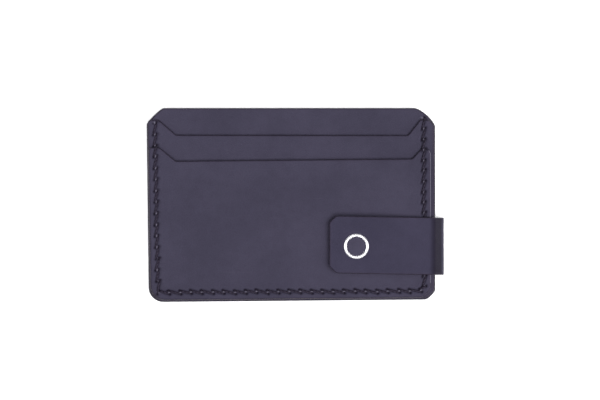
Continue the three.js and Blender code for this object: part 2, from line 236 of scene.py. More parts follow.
def make_handling():
    """Soft patches, a finer mottle, and hairline marks where a stretched noise peaks."""
    tree, given, result = new_group("handling", {"Position": None}, ["Patches", "Mottle", "Marks"])
    where = given["Position"]
    patches = add(tree, "ShaderNodeTexNoise", {"Vector": where, "Scale": 45.0, "Detail": 3.0})
    mottle = add(tree, "ShaderNodeTexNoise", {"Vector": where, "Scale": 320.0, "Detail": 4.0})
    turned = add(tree, "ShaderNodeMapping", {"Vector": where})
    turned.inputs["Rotation"].default_value = (0.0, 0.0, math.radians(31))
    turned.inputs["Scale"].default_value = (60.0, 1400.0, 60.0)
    hairs = add(tree, "ShaderNodeTexNoise", {"Vector": turned.outputs[0], "Scale": 1.0, "Detail": 2.0})
    feed(tree, result["Patches"], patches.outputs["Fac"])
    feed(tree, result["Mottle"], mottle.outputs["Fac"])
    feed(tree, result["Marks"], remap(tree, hairs.outputs["Fac"], 0.69, 0.78, 0.0, 1.0))
    return tree


def make_fibres():
    """Layers of fibre seen on a cut edge: a noise squeezed flat through the leather's thickness."""
    tree, given, result = new_group("edge fibres", {"Position": None}, ["Layers"])
    flat = add(tree, "ShaderNodeMapping", {"Vector": given["Position"]})
    flat.inputs["Scale"].default_value = (900.0, 900.0, 7000.0)
    layers = add(tree, "ShaderNodeTexNoise", {"Vector": flat.outputs[0], "Scale": 1.0, "Detail": 4.0})
    feed(tree, result["Layers"], layers.outputs["Fac"])
    return tree


GRAIN, HANDLING, FIBRES = make_grain(), make_handling(), make_fibres()
print("effects:", [group.name for group in (GRAIN, HANDLING, FIBRES)])

# %% [markdown]
# ## The leather finish
# Dyed calf is matte, slate grey with a cast of violet. The finish reads four attributes that each
# sheet carries: `flat` is the place on the flat sheet before it was folded, so the grain doesn't slide
# where the strap folds, `edge` is 1 on the cut edge, a painted-shade mask is 1 in a stitching hole,
# along a stitch's trough and over the strap's sharp bends, and a painted-highlight mask is 1 where the
# leather swells up between two stitches, and partly inside the snap ring and on the front panel's
# right shoulder.

# %% Leather
# Linear colours: the grain's valleys, a pale scuff, a painted highlight, the two tones of a burnished
# edge and painted shade for holes, stitch troughs and bends. The dye gives every reflection a cast of
# violet.
VALLEY, SCUFF, HIGHLIGHT_PALE = (0.012, 0.010, 0.020, 1.0), (0.12, 0.11, 0.15, 1.0), (0.200, 0.185, 0.240, 1.0)
EDGE_DARK, EDGE_PALE = (0.004, 0.003, 0.006, 1.0), (0.016, 0.012, 0.023, 1.0)
PAINTED_SHADE_COLOUR = (0.005, 0.0035, 0.008, 1.0)
VIOLET_SHINE = (0.80, 0.66, 1.0, 1.0)


def attribute(tree, name, output="Fac"):
    """What a mesh stores at each point under that name, as an output socket."""
    return add(tree, "ShaderNodeAttribute", attribute_name=name, attribute_type="GEOMETRY").outputs[output]


def make_leather(name, colour, grain_depth, mottle):
    """Leather of a colour, with its grain's depth in metres and the strength of its mottle. The colour
    is the dye, lighter and darker in patches, then mixed in turn with what the masks put over it."""
    material, tree, shader = new_material(name, Specular_IOR_Level=0.24, Sheen_Weight=0.03)
    shader.inputs["Specular Tint"].default_value = VIOLET_SHINE
    shader.inputs["Sheen Roughness"].default_value = 0.5
    place = attribute(tree, "flat", "Vector")
    grain = use_group(tree, GRAIN, {"Position": place})
    handling = use_group(tree, HANDLING, {"Position": place})
    fibres = use_group(tree, FIBRES, {"Position": place})
    edge = attribute(tree, "edge")
    painted_shade = attribute(tree, "painted_shade")

    dark = [*(c * (1 - mottle) for c in colour), 1.0]
    light = [*(c * (1 + mottle) for c in colour), 1.0]
    tone = math_node(tree, "MULTIPLY", handling["Patches"], 0.55)
    tone = math_node(tree, "MULTIPLY_ADD", handling["Mottle"], 0.45, tone)
    base = blend_colour(tree, remap(tree, tone, 0.3, 0.7, 0.0, 1.0), dark, light)
    base = blend_colour(tree, remap(tree, grain["Tone"], 0.0, 1.0, 0.24, 0.0), base, VALLEY)
    base = blend_colour(tree, math_node(tree, "MULTIPLY", handling["Marks"], 0.05), base, SCUFF)
    # Painted highlight: pale leather colour on the swollen points between stitches, inside the snap ring
    # and on the front panel's right shoulder.
    base = blend_colour(tree, math_node(tree, "MULTIPLY", attribute(tree, "painted_highlight"), 0.9), base, HIGHLIGHT_PALE)
    base = blend_colour(tree, edge, base, blend_colour(tree, fibres["Layers"], EDGE_DARK, EDGE_PALE))
    # Painted shade: near-black colour in stitching holes, along stitch troughs and over the strap's sharp
    # bends.
    feed(tree, shader.inputs["Base Color"], blend_colour(tree, painted_shade, base, PAINTED_SHADE_COLOUR))

    # The burnished edge is smoother than the face, and where shade is painted, in holes, troughs and bends,
    # it is duller.
    rough = remap(tree, handling["Patches"], 0.3, 0.7, 0.66, 0.56)
    rough = math_node(tree, "MULTIPLY_ADD", edge, -0.28, rough)
    feed(tree, shader.inputs["Roughness"], math_node(tree, "MULTIPLY_ADD", painted_shade, 0.3, rough))

    # The grain fades out on the edge, where the fibres take its place.
    face_grain = math_node(tree, "MULTIPLY", grain["Height"], remap(tree, edge, 0.2, 1.0, 1.0, 0.12))
    edge_layers = math_node(tree, "MULTIPLY", edge, 0.9)
    relief = math_node(tree, "MULTIPLY_ADD", fibres["Layers"], edge_layers, face_grain)
    add_bump(tree, shader, relief, 0.75, grain_depth)
    return material


PANEL_LEATHER = make_leather("slate calf", (0.0342, 0.0325, 0.0520), 0.000060, 0.09)
STRAP_LEATHER = make_leather("slate calf, strap", (0.0272, 0.0262, 0.0462), 0.000060, 0.08)
BACK_LEATHER = make_leather("slate calf, back", (0.0320, 0.0295, 0.0490), 0.000070, 0.10)

# %% [markdown]
# ## Waxed thread and plated steel
# Waxed polyester thread is nearly black, with a soft shine and a twist that shows as slanting bands.
# The bands follow the thread, so they read its UV map. The snap is nickel-plated steel: the ring on the
# outside is polished like a mirror, with faint lines from polishing, and the inside parts are satin.

# %% Thread and metal


THREAD_DARK, THREAD_PALE = (0.004, 0.003, 0.006, 1.0), (0.015, 0.012, 0.021, 1.0)


def make_thread():
    """Waxed thread: bands slanting across its uv, darker between the plies, which also make its bump."""
    material, tree, shader = new_material("waxed thread", Specular_IOR_Level=0.3, Roughness=0.5)
    shader.inputs["Specular Tint"].default_value = VIOLET_SHINE
    along = add(tree, "ShaderNodeUVMap", uv_map="run")
    turned = add(tree, "ShaderNodeMapping", {"Vector": along.outputs[0]})
    turned.inputs["Rotation"].default_value = (0.0, 0.0, math.radians(38))
    plies = add(tree, "ShaderNodeTexWave", {"Vector": turned.outputs[0], "Scale": 0.55, "Distortion": 0.6})
    colour = blend_colour(tree, plies.outputs["Fac"], THREAD_DARK, THREAD_PALE)
    feed(tree, shader.inputs["Base Color"], colour)
    add_bump(tree, shader, plies.outputs["Fac"], 0.6, 0.00008)
    return material


def make_metal(name, colour, roughness, streak):
    """Plated steel: a noise varies its tint and shine, and one stretched along x gives it faint
    polishing lines of the given strength."""
    material, tree, shader = new_material(name, Metallic=1.0)
    place = add(tree, "ShaderNodeTexCoord").outputs["Object"]
    cloud = add(tree, "ShaderNodeTexNoise", {"Vector": place, "Scale": 600.0, "Detail": 3.0})
    lines = add(tree, "ShaderNodeMapping", {"Vector": place})
    lines.inputs["Scale"].default_value = (900.0, 9000.0, 9000.0)
    hair = add(tree, "ShaderNodeTexNoise", {"Vector": lines.outputs[0], "Scale": 1.0, "Detail": 2.0})
    dull = [*(c * 0.86 for c in colour), 1.0]
    tint = blend_colour(tree, remap(tree, cloud.outputs["Fac"], 0.35, 0.65, 0.0, 1.0), dull, [*colour, 1.0])
    feed(tree, shader.inputs["Base Color"], tint)
    shine = remap(tree, cloud.outputs["Fac"], 0.3, 0.7, roughness * 0.75, roughness * 1.3)
    feed(tree, shader.inputs["Roughness"], shine)
    add_bump(tree, shader, hair.outputs["Fac"], streak, 0.000006)
    return material


THREAD = make_thread()
POLISHED = make_metal("polished nickel", (0.93, 0.92, 0.94), 0.055, 0.2)
SATIN = make_metal("satin nickel", (0.66, 0.65, 0.66), 0.30, 0.6)
WIRE = make_metal("spring wire", (0.52, 0.52, 0.54), 0.34, 0.8)
print("finishes:", [m.name for m in bpy.data.materials])

# %% [markdown]
# ## From arrays to a mesh
# All the surfaces are grids of points. `make_mesh` takes the points and the four corners of each face
# as whole arrays, and stores what the finishes read as attributes on the points.

# %% Mesh helpers


def make_mesh(name, points, quads, material, attributes=None, uv=None, caps=()):
    """An object from points in the frame (metres), quads (n, 4) and a list of closing faces."""
    mesh = bpy.data.meshes.new(name)
    mesh.from_pydata(points.tolist(), [], [*quads.tolist(), *caps])
    mesh.shade_smooth()
    for key, values in (attributes or {}).items():
        values = np.asarray(values, np.float32)
        kind, field = ("FLOAT", "value") if values.ndim == 1 else ("FLOAT_VECTOR", "vector")
        mesh.attributes.new(key, kind, "POINT").data.foreach_set(field, values.ravel())
    if uv is not None:
        corner = np.zeros(len(mesh.loops), np.int32)
        mesh.loops.foreach_get("vertex_index", corner)
        mesh.uv_layers.new(name="run").data.foreach_set("uv", uv[corner].astype(np.float32).ravel())
    mesh.materials.append(material)
    piece = bpy.data.objects.new(name, mesh)
    bpy.context.scene.collection.objects.link(piece)
    return piece


def turn_outward(mesh):
    """Merges points that coincide, then makes every face of a closed mesh point out."""
    bm = bmesh.new()
    bm.from_mesh(mesh)
    bmesh.ops.remove_doubles(bm, verts=bm.verts, dist=1e-7)
    bmesh.ops.recalc_face_normals(bm, faces=bm.faces)
    bm.to_mesh(mesh)
    bm.free()


def grid_quads(rows, columns, close=False):
    """The quads of a rows x columns grid of points, joined back to its first column if close is set."""
    index = np.arange(rows * columns).reshape(rows, columns)
    if close:
        index = np.concatenate([index, index[:, :1]], axis=1)
    corners = [index[:-1, :-1], index[1:, :-1], index[1:, 1:], index[:-1, 1:]]
    return np.stack(corners, axis=-1).reshape(-1, 4)


# %% [markdown]
# ## A sheet of leather
# Every panel and the strap is the same thing: a sheet with a grain face, a flesh face and a rounded,
# burnished edge. It could be an extruded outline with a bevel, but then its faces would be single flat
# polygons that nothing could dent. Here both faces are grids, so the stitches can pull them down, and
# the edge is a quarter circle, a short wall and another quarter circle carried round the outline.
#
# A column at x runs from `low_edge(x)` to `high_edge(x)`, which is how round, cut and notched outlines
# all fit one grid.

# %% Rims
ROUNDING = 0.32
EDGE_STEPS = 5


def rim_indices(columns, rows):
    """The border of a columns x rows grid, anticlockwise, as flat indices."""
    grid = np.arange(columns * rows).reshape(columns, rows)
    return np.concatenate([grid[:, 0], grid[-1, 1:], grid[-2::-1, -1], grid[0, -2:0:-1]])


def outward(loop):
    """Unit vectors pointing out of an anticlockwise loop of points, from its neighbours' direction."""
    along = np.roll(loop, -1, axis=0) - loop
    along /= np.linalg.norm(along, axis=1, keepdims=True)
    mean = along + np.roll(along, 1, axis=0)
    mean /= np.linalg.norm(mean, axis=1, keepdims=True)
    return np.stack([mean[:, 1], -mean[:, 0]], axis=1)


def cut_square(out, border, cut_at, low_edge, high_edge):
    """Takes the outward step away on the square cut, and at its two corners keeps only the step across,
    so that the cut stays flat between two rounded sides."""
    x, y = border[:, 0], border[:, 1]
    on_cut = np.isclose(x, cut_at)
    at_corner = on_cut & (np.isclose(y, low_edge(x)) | np.isclose(y, high_edge(x)))
    out[on_cut] = 0
    out[at_corner, 1] = np.sign(y[at_corner] - np.mean(y[on_cut]))


def rim_rings(border, out, over, under):
    """Rings of flat points round the edge, from the upper face down: the quarter circle
    (sin a, 1 - cos a) * ROUNDING outwards and down, then the same mirrored at the lower face."""
    turn = np.linspace(0, np.pi / 2, EDGE_STEPS)
    reach = np.concatenate([np.sin(turn), np.sin(turn[::-1])]) * ROUNDING
    drop = (1 - np.cos(turn)) * ROUNDING
    heights = np.concatenate([over - drop[:, None], under + drop[::-1, None]])
    rings = border[None] + reach[:, None, None] * out[None]
    return np.concatenate([rings, heights[..., None]], axis=2)[1:-1]


def wall_quads(rim, count, rings):
    """Quads from the upper face's rim through the rings to the lower face's, with count points a face."""
    between = 2 * count + np.arange(rings * len(rim)).reshape(-1, len(rim))
    loops = np.concatenate([rim[None], between, rim[None] + count])
    following = np.roll(loops, -1, axis=1)
    return np.stack([loops[:-1], loops[1:], following[1:], following[:-1]], axis=-1).reshape(-1, 4)


def mark_sharp(mesh, on_cut):
    """Edges whose two ends lie on the square cut are sharp, so its wall doesn't shade the faces."""
    ends = np.zeros(len(mesh.edges) * 2, np.int32)
    mesh.edges.foreach_get("vertices", ends)
    both = on_cut[ends.reshape(-1, 2)].all(axis=1)
    mesh.attributes.new("sharp_edge", "BOOLEAN", "EDGE").data.foreach_set("value", both)


# %% [markdown]
# With its rim worked out, a sheet is the two faces, the rings between them and the masks that its
# finish reads. The dye of the burnished edge creeps a little way onto both faces. On the front panel's
# right edge the upper shoulder carries a painted highlight: most of the edge's dark colour is left off
# there and the pale highlight colour is painted in.

# %% Sheet builder
EDGE_DYE, DYE_CREEP = 0.45, 0.3
# A painted highlight on the front panel's right shoulder: how far in from the right and above which height
# it reaches, and how much of the dark edge colour it keeps.
HIGHLIGHT_WITHIN, HIGHLIGHT_ABOVE, HIGHLIGHT_EDGE_SHARE = 0.5, -28.0, 0.3


def leather_sheet(name, columns, fractions, low_edge, high_edge, faces, place, material, cut_at=None,
                  shoulder_highlight_strength=0.0):
    """A closed sheet. faces(x, y) gives the heights of its lower and upper face, a mask of painted shade
    and one of painted highlight, and place turns flat points into points in millimetres. Its edge is
    rounded except where the sheet is cut square, at the first or last column, to meet the next piece.
    The last argument paints a highlight on the upper shoulder of the right edge."""
    x = np.repeat(columns[:, None], len(fractions), axis=1)
    low, high = low_edge(columns)[:, None], high_edge(columns)[:, None]
    y = low + fractions[None, :] * (high - low)
    under, over, painted_shade, painted_highlight = (values.ravel() for values in faces(x, y))
    rim = rim_indices(*x.shape)
    border = np.stack([x.ravel()[rim], y.ravel()[rim]], axis=1)
    out = outward(border)
    from_sides = np.minimum(x - columns[0], columns[-1] - x)
    if cut_at is not None:
        cut_square(out, border, cut_at, low_edge, high_edge)
        from_sides = np.abs(x - (columns[0] + columns[-1] - cut_at))
    rings = rim_rings(border, out, over[rim], under[rim])
    top = np.stack([x.ravel(), y.ravel(), over], axis=1)
    bottom = np.stack([x.ravel(), y.ravel(), under], axis=1)
    flat = np.concatenate([top, bottom, rings.reshape(-1, 3)])
    count = len(top)
    upper = grid_quads(*x.shape)
    quads = np.concatenate([upper, upper[:, ::-1] + count, wall_quads(rim, count, len(rings))])

    inset = np.minimum(from_sides, np.minimum(y - low, high - y))
    dyed = EDGE_DYE * bell(inset.ravel(), DYE_CREEP)
    # Painted highlight on the upper shoulder of the right edge: the dark edge colour is mostly left off and
    # the pale highlight colour painted in.
    shoulder_highlight = np.zeros(rings.shape[:2])
    shoulder_highlight[:2] = shoulder_highlight_strength * (border[:, 0] > columns[-1] - HIGHLIGHT_WITHIN) * (border[:, 1] > HIGHLIGHT_ABOVE)
    masks = {
        "flat": flat * MM,
        "edge": np.concatenate([dyed, dyed, np.where(shoulder_highlight > 0, HIGHLIGHT_EDGE_SHARE, 1.0).ravel()]),
        "painted_shade": np.concatenate([painted_shade, painted_shade, np.zeros(shoulder_highlight.size)]),
        "painted_highlight": np.concatenate([painted_highlight, painted_highlight, shoulder_highlight.ravel()]),
    }
    piece = make_mesh(name, put_in_frame(place(flat)), quads, material, masks)
    if cut_at is not None:
        mark_sharp(piece.data, np.isclose(flat[:, 0], cut_at))
    wide, high_flat = np.ptp(flat[:, :2], axis=0)
    print(f"{name}: {len(piece.data.polygons)} faces, {wide:.1f} x {high_flat:.1f} mm flat")
    return piece


# %% [markdown]
# ## The seam
# A saddle stitch goes through slanting holes. The thread leaves each hole at one end of the slit and
# enters the next at the other end, so the stitches overlap like the plies of a rope, with a swollen
# point of leather between each two. Pulled tight, the thread sinks into the leather and puffs it up on
# both sides. All of that is one height function of the distances to the holes and the stitches. The
# same distances give painted shade in the slits and troughs and a painted highlight on each swollen point.

# %% Holes, stitches and the relief they press
SEAM_TURNS = np.array([[-48.0, 28.75], [-46.7, -31.2], [46.0, -30.7], [47.3, -29.1], [47.1, 30.35]])
SEAM_STITCHES = [15, 24, 1, 16]
SLIT_SLANT = math.radians(62)
SLIT_HALF = 0.72
HAND_ERROR = 0.09
# The pit of a slit, the trough under a stitch, the ridge beside it and how far beside, and the nub.
PIT_DEEP, TROUGH_DEEP, RIDGE_HIGH, RIDGE_BESIDE, NUB_HIGH = 0.30, 0.20, 0.07, 1.15, 0.66
SEAM_REACH = 3.0


def stitch_line(turns, counts):
    """Evenly spaced holes along a bent line, its turning points included once each."""
    legs = [a + (b - a) * np.linspace(0, 1, n + 1)[1:, None] for a, b, n in zip(turns, turns[1:], counts)]
    return np.concatenate([turns[:1], *legs])


def slits(holes):
    """Each hole's slit as a vector from its middle to the end that the next stitch leaves from."""
    along = np.gradient(holes, axis=0)
    along /= np.linalg.norm(along, axis=1, keepdims=True)
    left = np.stack([-along[:, 1], along[:, 0]], axis=1)
    return SLIT_HALF * (left * math.sin(SLIT_SLANT) - along * math.cos(SLIT_SLANT))


HOLES = stitch_line(SEAM_TURNS, SEAM_STITCHES)
SLITS = slits(HOLES)
HOLES = HOLES + np.random.default_rng(7).normal(0, HAND_ERROR, HOLES.shape)
STITCH_FROM = (HOLES + SLITS)[:-1]
STITCH_TO = (HOLES - SLITS)[1:]


def to_segments(x, y, starts, ends):
    """Distance from each point to the nearest of several segments. The nearest place on a segment is
    start + t * run, where t is (point - start) . run / |run|^2, kept between 0 and 1."""
    points = np.stack([x, y], axis=-1)[..., None, :]
    run = ends - starts
    t = np.clip(((points - starts) * run).sum(-1) / (run**2).sum(-1), 0, 1)
    return np.linalg.norm(points - starts - t[..., None] * run, axis=-1).min(-1)


def seam_relief(x, y, holes=HOLES, slit=SLITS, starts=STITCH_FROM, ends=STITCH_TO):
    """Height, a painted-shade mask and a painted-highlight mask, each a sum of bells of the distances: a
    slit is a narrow pit, a stitch a shallow trough with a low ridge on both sides, and a nub a swelling
    at each slit's middle. Shade is painted in the slits and along the troughs, and a highlight on the nubs."""
    height, painted_shade, painted_highlight = np.zeros_like(x), np.zeros_like(x), np.zeros_like(x)
    near = to_segments(x, y, holes[:-1], holes[1:]) < SEAM_REACH
    near_x, near_y = x[near], y[near]
    pit = to_segments(near_x, near_y, holes - slit, holes + slit)
    middle = np.hypot(near_x[:, None] - holes[:, 0], near_y[:, None] - holes[:, 1]).min(-1)
    trough = to_segments(near_x, near_y, starts, ends)
    swell = bell(middle, 0.36)
    height[near] = (
        -PIT_DEEP * bell(pit, 0.30)
        - TROUGH_DEEP * bell(trough, 0.45)
        + RIDGE_HIGH * bell(trough - RIDGE_BESIDE, 0.5)
        + NUB_HIGH * swell
    )
    # Painted shade, dark in each slit and along each stitch's trough, and left off where the nub's painted
    # highlight is.
    shade = 1.25 * bell(pit, 0.32) + 0.6 * bell(trough, 0.55, 4)
    painted_shade[near] = np.clip(shade - 1.6 * swell, 0, 1)
    painted_highlight[near] = swell
    return height, painted_shade, painted_highlight


print(len(HOLES), "holes,", len(STITCH_FROM), "stitches")

# %% [markdown]
# ## How the holder lies
# The strap runs under the back, so a holder on a table rests on the strap and on its own far edges.
# Leather isn't stiff enough to float: it sinks about a millimetre away from the strap until its left
# and top edges touch the table. Every piece sewn to the body takes its share of that sag.

# %% Sag and panel levels
STRAP_BACK_END = -24.0
SAG = 1.02
SAG_REACH = 34.0


def sag(x, y):
    """How far the body sinks: nothing over the strap, and SAG times a smooth step of the distance
    from it."""
    beside = np.maximum(STRAP_BACK_END - x, 0)
    above = np.maximum(np.maximum(y - STRAP_Y - STRAP_HALF, STRAP_Y - STRAP_HALF - y), 0)
    return SAG * smooth(np.hypot(beside, above) / SAG_REACH)


def wave(x, y, seed):
    """A very slight unevenness, a few hundredths of a millimetre: two crossed waves and a finer one."""
    return 0.035 * np.sin(x / 11 + seed) * np.cos(y / 9 - 2 * seed) + 0.02 * np.sin(x / 4.3 + y / 6 + seed)


# Each panel's lower and upper face at the seam, then between the seams.
LEVELS = {
    "back_panel": (1.10, 2.28, 1.10, 2.16),
    "upper_panel": (2.29, 3.52, 2.50, 3.55),
    "middle_pocket_panel": (3.53, 4.76, 3.82, 4.83),
    "front_pocket_panel": (4.77, 6.04, 5.20, 6.30),
}
# How far each panel reaches past its plain shape, to the right and at the foot. The panels under the
# front one reach further right than it does, so a step shows beside it.
REACH_RIGHT = dict(zip(LEVELS, (0.34, 0.48, 0.60, -0.28)))
REACH_DOWN = dict(zip(LEVELS, (0.35, 0.35, 0.05, 0.05)))
SEWN_BORDER, SLACKENING = 3.5, 9


def pressed(x, y, left, right, bottom):
    """1 at the seam, on the three sewn sides, and 0 well inside it: smooth of the distance inwards."""
    inside = np.minimum(np.minimum(x - left, right - x), y - bottom)
    return 1 - smooth((inside - SEWN_BORDER) / SLACKENING)


print(f"the far corner sinks {sag(-HALF_WIDTH, TOP):.2f} mm")


# %% [markdown]
# ## The panels' outlines
# The corners were cut by hand, one round and three nearly straight, and the bottom edge isn't quite
# square. One formula covers them: a corner of a superellipse, |1-a|^p + |1-b|^p = 1, is straight at
# p = 1 and round at p = 2. The pocket mouths are shallow trapezoids between two ears.

# %% Outlines
SIDE_BAND, SIDE_GAP = 7.5, 0.3


def corner(inset, cut, power):
    """How far a corner of that size lifts an edge, at a distance in from the side: cut times
    1 - (1 - t^power)^(1/power), where t falls from 1 at the side to 0 where the corner ends."""
    t = 1 - np.clip(inset / cut, 0, 1)
    return cut * (1 - (1 - t**power) ** (1 / power))


def softened(x, points, reach=0.35):
    """Straight lines through points, averaged over a short reach so that their corners are eased."""
    shifts = np.linspace(-reach, reach, 9)
    return np.mean([np.interp(x + s, points[:, 0], points[:, 1]) for s in shifts], axis=0)


def panel_columns(left, right, cut_left, cut_right, middle_gap):
    """Columns bunched up towards the two sides, where the corners and the seams are. Within a corner
    they lie at the squares of even steps."""
    u = np.linspace(0, 1, 14)
    starts = left + cut_left * u**2
    ends = right - cut_right * u[::-1] ** 2
    between = ruler((left + cut_left, left + SIDE_BAND, SIDE_GAP),
                    (left + SIDE_BAND, right - SIDE_BAND, middle_gap),
                    (right - SIDE_BAND, right - cut_right, SIDE_GAP))
    return np.concatenate([starts[:-1], between, ends[1:]])


# %% [markdown]
# A panel is a sheet with those outlines over its node's box. The left side wasn't cut upright: it leans
# in at the foot and out at the top. The lean is put on last, so the relief is worked out where the
# leaning leather will be, and its stitches stay under the threads.

# %% Panel builder
# The size and power of each pair of cut corners, left and right: at the foot, on a pocket's ears and at
# the top, whose corners are also a little shallower than they are wide.
FOOT_CUTS = ((4.9, 2.0), (3.1, 1.25))
EAR_CUTS = ((0.7, 1.6), (1.9, 1.4))
TOP_CUTS = ((5.6, 1.15), (6.8, 1.36))
TOP_SHALLOW = (0.98, 0.91)
FOOT_RISE = 0.95
# How much the left side leans from foot to top, how much of that is outwards, and how far in it is felt.
LEAN_SPAN, LEAN_OUT, LEAN_REACH = 0.85, 0.12, 30
LIP_HIGH, LIP_REACH = 0.16, 7
# The share of the seam's relief that comes through to the outside of the back, and its limit.
THROUGH_SHARE, THROUGH_MOST = 1.2, 0.5
# The strength of the painted highlight on the front panel's right shoulder.
SHOULDER_HIGHLIGHT = 0.85


def make_panel(node, name, material, rows, top_line=None, middle_gap=0.48):
    """A panel over its CAD node: rows are stretches of fractions, and its top is either a mouth line
    or level with two cut corners."""
    low, high = node_box(node)
    low, high = low - CENTRE, high - CENTRE
    left, right = low[0] + ROUNDING, high[0] - ROUNDING + REACH_RIGHT[node]
    foot_left = low[1] + ROUNDING - REACH_DOWN[node]
    foot_right = foot_left + FOOT_RISE
    seam_low, seam_high, mid_low, mid_high = LEVELS[node]

    def low_edge(x):
        """A straight line rising to the right, lifted by the foot's two corners."""
        base = foot_left + (foot_right - foot_left) * (x - left) / (right - left)
        return base + corner(x - left, *FOOT_CUTS[0]) + corner(right - x, *FOOT_CUTS[1])

    def high_edge(x):
        """The mouth line or the level top, lowered by its two corners."""
        if top_line is not None:
            ears = corner(x - left, *EAR_CUTS[0]) + corner(right - x, *EAR_CUTS[1])
            return softened(x, top_line) - ROUNDING - ears
        cut_left = TOP_SHALLOW[0] * corner(x - left, *TOP_CUTS[0])
        cut_right = TOP_SHALLOW[1] * corner(right - x, *TOP_CUTS[1])
        return high[1] - ROUNDING - (cut_left + cut_right)

    def lean(x, y):
        """The step to the right: linear from the foot to the top, fading away from the left side."""
        down = 1 - (y - low[1]) / (high[1] - low[1])
        return (LEAN_SPAN * down - LEAN_OUT) * smooth((low[0] + LEAN_REACH - x) / LEAN_REACH)

    def faces(x, y):
        """Levels blended from the seam to the middle, plus the relief, the wave, the sag and a mouth's
        lip, which stands a little open. The back shows the stitches from behind as well."""
        tight = pressed(x, y, low[0], high[0], low[1])
        relief, painted_shade, painted_highlight = seam_relief(x + lean(x, y), y)
        sink = wave(x, y, seam_low) * (1 - tight) - sag(x, y)
        under = seam_low * tight + mid_low * (1 - tight) + sink
        over = seam_high * tight + mid_high * (1 - tight) + relief + sink
        if node == "back_panel":
            under = under + np.minimum(-THROUGH_SHARE * relief, THROUGH_MOST) * (relief < 0)
        if top_line is not None:
            below = high_edge(x[:, 0])[:, None] - y
            lip = LIP_HIGH * (1 - tight) * smooth(1 - below / LIP_REACH)
            under, over = under + lip, over + lip
        return under, over, painted_shade, painted_highlight

    def place(flat):
        """The flat sheet with its left side leaning."""
        shift = lean(flat[:, 0], flat[:, 1])
        return flat + np.stack([shift, 0 * shift, 0 * shift], axis=1)

    widest_right = TOP_CUTS[1][0] if top_line is None else FOOT_CUTS[1][0]
    columns = panel_columns(left, right, TOP_CUTS[0][0], widest_right, middle_gap)
    piece = leather_sheet(name, columns, ruler(*rows), low_edge, high_edge, faces, place, material,
                          shoulder_highlight_strength=SHOULDER_HIGHLIGHT if node == "front_pocket_panel" else 0.0)
    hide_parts(node)
    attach(piece, "holder")
    return piece


# %% [markdown]
# ## Four panels
# The back and upper panels make the note pocket, and each panel in front of them starts lower, so the
# mouths step down like stairs. What is hidden behind another panel needs few points, and the strips
# that show, the ears and the sewn border need many.

# %% Make the panels


def mouth_line(ear_left, mouth_left, mouth_right, ear_right, ear_top):
    """The top line of a pocket: level ears, two slopes and the mouth between them."""
    side = HALF_WIDTH + 5
    ears = [-side, ear_top], [ear_left, ear_top], [ear_right, ear_top], [side, ear_top]
    return np.array([*ears[:2], mouth_left, mouth_right, *ears[2:]])


MIDDLE_EAR, FRONT_EAR = 29.8, 20.0
MIDDLE_LINE = mouth_line(-46.7, [-40.5, 24.4], [41.8, 24.3], 46.1, MIDDLE_EAR)
FRONT_LINE = mouth_line(-46.3, [-40.6, 15.2], [43.2, 16.0], 46.9, FRONT_EAR)

make_panel(
    "back_panel", "back_leather", BACK_LEATHER,
    [(0, 0.12, 0.006), (0.12, 0.9, 0.012), (0.9, 1, 0.006)], middle_gap=0.7)
make_panel(
    "upper_panel", "upper_leather", PANEL_LEATHER,
    [(0, 0.72, 0.02), (0.72, 0.95, 0.006), (0.95, 1, 0.004)], middle_gap=0.55)
make_panel(
    "middle_pocket_panel", "middle_pocket_leather", PANEL_LEATHER,
    [(0, 0.7, 0.02), (0.7, 0.97, 0.007), (0.97, 1, 0.004)], top_line=MIDDLE_LINE)
make_panel(
    "front_pocket_panel", "front_pocket_leather", PANEL_LEATHER,
    [(0, 0.11, 0.0055), (0.11, 0.96, 0.0085), (0.96, 1, 0.004)], top_line=FRONT_LINE)

# %% [markdown]
# ## The strap
# The strap is one long sheet, made flat and then folded: it is carried along a path that runs under
# the back, turns sharply up at the table, leans in against the edge, bends over the front and climbs
# to the snap. The path's direction is the running sum of its curvature, and its points are the running
# sum of its direction, so a few lengths and radii give the whole fold.
#
# The strap bends at two lines, and it is made as two halves, cut square in the middle of its
# straight side between them.

# %% The strap's path
FOLD_RADIUS, FOLD_TURN = 1.3, math.radians(125)
SIDE_LENGTH = 4.7
CREST_RADIUS, SLOPE = 1.65, math.radians(7)
CREST_TURN = math.pi - SLOPE - FOLD_TURN
EASE_RADIUS = 30.0
FOLD_STARTS = 52.55
TIP = STRAP_LOW[0] - STRAP_LONGER
TAB_LEVEL = STRAP_HIGH[2] - STRAP_THICK / 2
FINE = 0.02
EASING = np.hanning(41)
SPARE = 40.0


